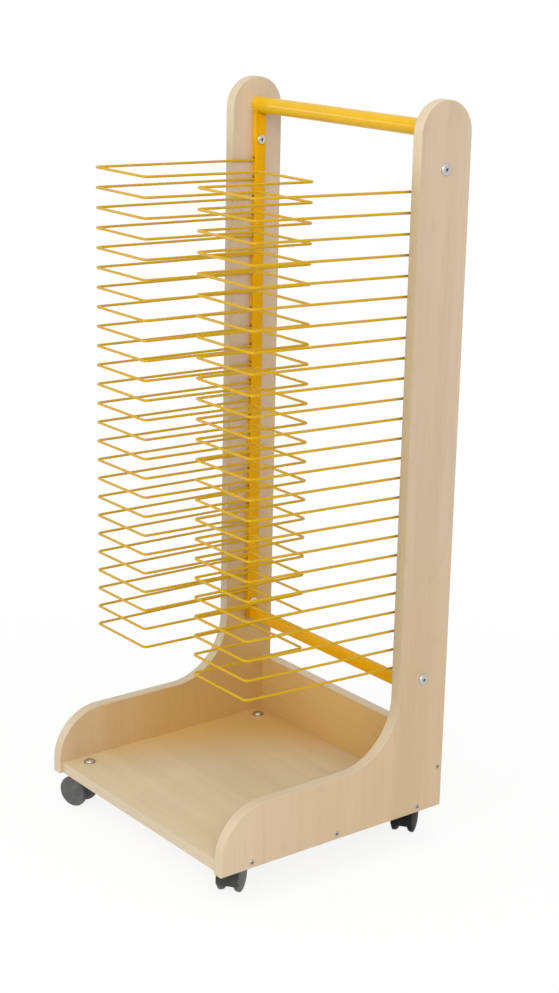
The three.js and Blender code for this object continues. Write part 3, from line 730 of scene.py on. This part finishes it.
def boltProfile():
    grip = (outerX - innerX) / mm + tube["postWidth"]
    head = hexSocket(bolt, bolt["headHeight"], 1)
    crown = dome(bolt["face"] / 2, bolt["head"] / 2, bolt["headHeight"], bolt["rim"])
    shank = [(bolt["head"] / 2, 0, 0), (bolt["shank"] / 2, 0, 0), (bolt["shank"] / 2, -grip, 0),
             (bolt["nut"] / 2, -grip, 0)]
    foot = -grip - bolt["nutHeight"]
    nutEdge = bolt["nut"] / 2
    nutDome = dome(nutEdge - bolt["nutRound"], nutEdge, foot, -grip - bolt["rim"])[::-1]
    nut = hexSocket(bolt, foot, -1)[::-1]
    return np.concatenate([head, crown, shank, nutDome, nut])


def screwProfile():
    half, proud = screw["head"] / 2, screw["proud"]
    head = hexSocket(screw, proud, 1)
    rest = [(half - screw["rimWidth"], proud, 0), (half, proud - screw["rimDrop"], 0), (half, 0, 0),
            (screw["shank"] / 2, -screw["sunk"], 0), (0, -screw["sunk"], 0)]
    return np.concatenate([head, rest])


def facing(side, y, z):
    # places a turned piece on a panel's outer face, pointing out
    turn = Matrix.Identity(4) if side > 0 else Matrix.Rotation(np.pi, 4, "Z")
    return Matrix.Translation((side * outerX, y, z)) @ turn


boltShell = turned(boltProfile(), bolt["segments"])
boltRecess = np.repeat(boltProfile()[:, 2], bolt["segments"])
screwShell = turned(screwProfile(), screw["segments"])
screwRecess = np.repeat(screwProfile()[:, 2], screw["segments"])
baseScrewZ = deckZ + screw["baseRise"] * mm
screwPlaces = {"base_front": (frontY + screw["fromFront"] * mm, baseScrewZ),
               "base_middle": (screw["middleY"] * mm, baseScrewZ),
               "base_rear": (backY - screw["fromBack"] * mm, baseScrewZ),
               "back": (backY - screw["backInset"] * mm, deckZ + screw["backRise"] * mm)}
for sideName, side in sides:
    for level in ("upper", "lower"):
        node = f"{level}_{sideName}_frame_bolt"
        low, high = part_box(node)
        place = facing(side, uprightMidY, (low.z + high.z) / 2)
        makePiece(f"{level}_{sideName}_socket_bolt", [moved(boltShell, place)], zinc, "rack",
                  [node], recess=boltRecess)
    for name, (y, z) in screwPlaces.items():
        makePiece(f"{sideName}_{name}_screw", [moved(screwShell, facing(side, y, z))], dullZinc, "rack",
                  recess=screwRecess)
print("bolts and screws done")

# Castors
stem = {"pin": 7, "pinLength": 22, "pinChamfer": 0.6,
        "collar": 20, "collarHeight": 3, "collarChamfer": 0.5, "thread": 10,
        "nut": 19, "nutHeight": 5.6, "rimHeight": 0.9, "rimTop": 1.2, "rimStep": 0.6,
        "crownInset": 1.2, "crownPoints": 9, "segments": 40}
castor = {"trail": 22, "webHalf": 7.8, "sideGap": 0.4}
wheel = {"radius": 25, "width": 11.4, "tread": 7.6, "bore": 2.8, "boreWall": 2,
         "innerEdge": 4, "innerRound": 5.6, "edgePoints": 9, "facePoints": 14, "segments": 64}
hood = {"from": -15, "to": 110, "wall": 2.4, "inset": 2, "wellGap": 1,
        "edgeRound": 0.8, "edgeShare": 0.35, "acrossPoints": 31,
        "lipDraw": (0, 0.7, 0.92, 1), "lipAngles": (0, 0.2, 1.2, 2.6), "lipEnd": 4, "sweepPoints": 26,
        "webInset": 1, "webFrom": 3, "webCorner": (-2, -3), "webPoints": 24,
        "hub": 18, "hubChamfer": 0.5, "boss": 18, "bossChamfer": 0.8, "bossHeight": 9, "neckDrop": 1,
        "footRise": 8, "runningGap": 0.3, "segments": 40}
standing = Matrix.Rotation(-np.pi / 2, 4, "Y")  # turns a piece on the x axis to stand on z
axlePlace = Matrix.Translation((0, -castor["trail"] * mm, wheel["radius"] * mm))


def stemProfile():
    # threaded stem from the pin's foot up to the domed nut, in mm above the base's underside
    board = (baseHigh.z - baseLow.z) / mm
    pin, collar, thread, nut = (stem[name] / 2 for name in ("pin", "collar", "thread", "nut"))
    pinEdge, collarEdge = stem["pinChamfer"], stem["collarChamfer"]
    collarFoot = -stem["collarHeight"]
    pinFoot = collarFoot - stem["pinLength"]
    below = [(0, pinFoot, 0), (pin - pinEdge, pinFoot, 0), (pin, pinFoot + pinEdge, 0),
             (pin, collarFoot, 0), (collar - collarEdge, collarFoot, 0),
             (collar, collarFoot + collarEdge, 0), (collar, 0, 0), (thread, 0, 0), (thread, board, 0)]
    rimTop = board + stem["rimTop"]
    rim = [(nut, board, 0), (nut, board + stem["rimHeight"], 0), (nut - stem["rimStep"], rimTop, 0)]
    crown = dome(0, nut - stem["crownInset"], board + stem["nutHeight"], rimTop, stem["crownPoints"])
    return np.concatenate([below, rim, crown[::-1]])


def wheelReach(x):
    # wheel's radius at a distance x from the castor's middle: level tread, then a quarter ellipse
    treadEnd = castor["webHalf"] + castor["sideGap"] + wheel["tread"]
    share = np.clip((np.abs(x) - treadEnd) / (wheel["width"] - wheel["tread"]), 0, 1)
    return wheel["radius"] * np.sqrt(1 - share ** 2)


def wheelProfile():
    # blind bore for the axle, flat inner face, rounded inner edge, tread and domed outer face
    inner = castor["webHalf"] + castor["sideGap"]
    outer = inner + wheel["width"]
    radius = wheel["radius"]
    boreEnd = outer - wheel["boreWall"]
    bore = [(0, boreEnd, 0), (wheel["bore"], boreEnd, 0), (wheel["bore"], inner, 0)]
    innerEdge = dome(radius - wheel["innerEdge"], radius, inner, inner + wheel["innerRound"],
                     wheel["edgePoints"])
    turn = np.radians(np.linspace(0, 90, wheel["facePoints"]))
    treadEnd = inner + wheel["tread"]
    facePlace = treadEnd + (outer - treadEnd) * np.sin(turn)
    face = np.column_stack([radius * np.cos(turn), facePlace, np.zeros_like(turn)])
    return np.concatenate([bore, innerEdge, face])


def hoodShells():
    # crown: a wall of even thickness that follows the wheels' outline, carried round the axle, its end
    # rings drawn in to round the lips; then the web between the wheels, the hub and the swivel boss
    half = castor["webHalf"]
    axleY, axleZ = -castor["trail"], wheel["radius"]
    side = half + castor["sideGap"] + wheel["width"] - hood["inset"]
    across = side * np.sin(np.radians(np.linspace(-90, 90, hood["acrossPoints"])))
    under = wheelReach(across) + hood["wellGap"]
    edge = np.clip((side - np.abs(across)) / hood["edgeRound"], 0, 1)
    thin = hood["edgeShare"]
    above = under + hood["wall"] * (thin + (1 - thin) * np.sqrt(1 - (1 - edge) ** 2))
    section = np.concatenate([np.column_stack([across, above]), np.column_stack([across, under])[::-1]])
    middle = section.mean(0)
    draw, lip = np.array(hood["lipDraw"]), np.array(hood["lipAngles"])
    share = np.concatenate([draw, np.ones(hood["sweepPoints"]), draw[::-1]])
    sweep = np.linspace(hood["from"] + hood["lipEnd"], hood["to"] - hood["lipEnd"], hood["sweepPoints"])
    angle = np.radians(np.concatenate([hood["from"] + lip, sweep, hood["to"] - lip[::-1]]))
    rings = middle + (section - middle) * share[:, None, None]
    crown = np.stack([rings[..., 0], rings[..., 1] * np.cos(angle)[:, None] + axleY,
                      rings[..., 1] * np.sin(angle)[:, None] + axleZ], -1)
    shells = [shellOf(crown * mm, closeCols=True)]
    webRadius = wheel["radius"] + hood["wellGap"] + hood["wall"] - hood["webInset"]
    fan = arc((axleY, axleZ), webRadius, hood["from"] + hood["webFrom"], hood["to"] - hood["webFrom"],
              hood["webPoints"])
    web = np.concatenate([[np.add((axleY, axleZ), hood["webCorner"])], fan])
    shells.append(prismAlongX(web * mm, -half * mm, half * mm)[0])
    hub, hubEdge = hood["hub"] / 2, hood["hubChamfer"]
    hubProfile = [(0, -half, 0), (hub - hubEdge, -half, 0), (hub, -half + hubEdge, 0),
                  (hub, half - hubEdge, 0), (hub - hubEdge, half, 0), (0, half, 0)]
    shells.append(moved(turned(hubProfile, hood["segments"]), axlePlace))
    bossTop = deckZ / mm - stem["collarHeight"] - hood["runningGap"]
    boss, bossEdge, foot = hood["boss"] / 2, hood["bossChamfer"], axleZ + hood["footRise"]
    bossFoot = bossTop - hood["bossHeight"]
    bossProfile = [(0, foot, 0), (half, foot, 0), (half, bossFoot - hood["neckDrop"], 0),
                   (boss, bossFoot, 0), (boss, bossTop - bossEdge, 0),
                   (boss - bossEdge, bossTop, 0), (0, bossTop, 0)]
    shells.append(moved(turned(bossProfile, hood["segments"]), standing))
    return shells


stemShell = moved(turned(stemProfile(), stem["segments"]), standing)
wheelShell = turned(wheelProfile(), wheel["segments"])
hoodParts = hoodShells()
for corner in ("front_left", "front_right", "rear_left", "rear_right"):
    x, y, _ = joints[f"{corner}_swivel"]["pos_m"]
    axis = joints[f"{corner}_right_wheel_roll"]["axis"]
    makePiece(f"{corner}_stem_and_nut", [moved(stemShell, Matrix.Translation((x, y, deckZ)))], dullZinc,
              "rack", [f"{corner}_castor_stem"])
    swivel = Matrix.Translation((x, y, 0)) @ Matrix.Rotation(atan2(axis[1], axis[0]), 4, "Z")
    # painted shade: the rear right castor takes the near-black copy
    plastic = shadedCastor if corner == "rear_right" else plainCastor
    makePiece(f"{corner}_moulded_hood", [moved(shell, swivel) for shell in hoodParts], plastic["hood"],
              f"{corner}_castor", [f"{corner}_castor_hood"])
    for sideName, turn in (("right", 0), ("left", np.pi)):
        node = f"{corner}_castor_{sideName}_wheel"
        placed = moved(wheelShell, swivel @ axlePlace @ Matrix.Rotation(turn, 4, "Z"))
        makePiece(f"{corner}_{sideName}_domed_wheel", [placed], plastic["wheel"], node,
                  [node])
    axleNode = frame["nodes"][f"{corner}_castor_axle"]
    axleNode.data.materials.clear()
    axleNode.data.materials.append(zinc)
print("castors done")

# Floor, light and camera, in metres; the floor's lift is its least share of plain white
stage = {"floorRadius": 6.0, "floorRings": 9, "floorSegments": 48, "floor": "#FAFAF9",
         "shadowFrom": 0.4, "shadowTo": 1.2, "lift": 0.86, "ambient": 0.56, "aim": (0, 0, 0.55)}


def lightRayShare(tree):
    # 1 for rays that should see the plain white background: camera, glossy and transmission
    path = addNode(tree, "ShaderNodeLightPath")
    seen = addNode(tree, "ShaderNodeMath",
                   {0: path.outputs["Is Camera Ray"], 1: path.outputs["Is Glossy Ray"]},
                   operation="MAXIMUM")
    return addNode(tree, "ShaderNodeMath", {0: seen.outputs[0], 1: path.outputs["Is Transmission Ray"]},
                   operation="MAXIMUM").outputs[0]


def floorFinish():
    # pale matt studio paper that keeps the shadow near the rack and is plain white further off
    finish, tree, bsdf = newFinish("studioPaper", {"Base Color": hexColor(stage["floor"]),
                                                   "Roughness": 0.9, "Specular IOR Level": 0.1})
    place = addNode(tree, "ShaderNodeTexCoord").outputs["Object"]
    distance = addNode(tree, "ShaderNodeVectorMath", {0: place}, operation="LENGTH").outputs["Value"]
    far = addNode(tree, "ShaderNodeMapRange",
                  {"Value": distance, "From Min": stage["shadowFrom"], "From Max": stage["shadowTo"],
                   "To Min": stage["lift"]},
                  interpolation_type="SMOOTHSTEP")
    share = addNode(tree, "ShaderNodeMath", {0: far.outputs[0], 1: lightRayShare(tree)},
                    operation="MULTIPLY")
    white = addNode(tree, "ShaderNodeEmission", {"Strength": 1.0})
    mix = addNode(tree, "ShaderNodeMixShader",
                  {0: share.outputs[0], 1: bsdf.outputs[0], 2: white.outputs[0]})
    tree.links.new(mix.outputs[0], tree.nodes["Material Output"].inputs["Surface"])
    return finish


radius, angle = np.meshgrid(np.linspace(0, stage["floorRadius"], stage["floorRings"]),
                            np.linspace(0, 2 * np.pi, stage["floorSegments"], endpoint=False),
                            indexing="ij")
floorGrid = np.stack([radius * np.cos(angle), radius * np.sin(angle), np.zeros_like(radius)], -1)
floorPoints, floorFaces = shellOf(floorGrid, closeCols=True)
floorMesh = bpy.data.meshes.new("studio_floor")
floorMesh.from_pydata(floorPoints.tolist(), [], floorFaces.tolist())
floorMesh.materials.append(floorFinish())
floor = addObject("studio_floor", floorMesh)

world = bpy.data.worlds.new("whiteStudio")
world.use_nodes = True
bpy.context.scene.world = world
sky = world.node_tree.nodes["Background"]
sky.inputs["Color"].default_value = (1, 1, 1, 1)
strength = addNode(world.node_tree, "ShaderNodeMapRange",
                   {"Value": lightRayShare(world.node_tree), "To Min": stage["ambient"], "To Max": 1.0})
world.node_tree.links.new(strength.outputs[0], sky.inputs["Strength"])

lamps = {
    "keySoftbox": {"place": (0.4, -3.0, 2.6), "size": 1.8, "watts": 44},
    "rightFill": {"place": (2.7, -1.7, 2.3), "size": 1.6, "watts": 53},
    "topSoftbox": {"place": (0.2, 0.3, 3.0), "size": 1.6, "watts": 12},
    "leftStrip": {"place": (-2.3, -1.7, 1.3), "size": 0.5, "watts": 5},
}
for name, lamp in lamps.items():
    light = bpy.data.lights.new(name, "AREA")
    light.size = lamp["size"]
    light.energy = lamp["watts"]
    holder = addObject(name, light)
    place = Vector(lamp["place"])
    turn = (place - Vector(stage["aim"])).to_track_quat("Z", "Y").to_matrix().to_4x4()
    holder.matrix_world = Matrix.Translation(place) @ turn

# fitted to the photo, in mm, degrees and pixels
view = {"place": (2262.1, -1717.5, 1386.9), "yaw": 51.849, "tilt": 16.572, "roll": 1.222,
        "focalPixels": 1945.2, "imageHeight": 993, "sensor": 36}
lens = bpy.data.cameras.new("photoCamera")
lens.sensor_width = view["sensor"]
lens.lens = view["focalPixels"] * view["sensor"] / view["imageHeight"]
eye = addObject("photoCamera", lens)
spin = (Matrix.Rotation(radians(view["yaw"]), 4, "Z")
        @ Matrix.Rotation(radians(90 - view["tilt"]), 4, "X")
        @ Matrix.Rotation(radians(view["roll"]), 4, "Z"))
eye.matrix_world = Matrix.Translation([value * mm for value in view["place"]]) @ spin
bpy.context.scene.camera = eye
bpy.context.scene.view_settings.view_transform = "Standard"
print("stage done")
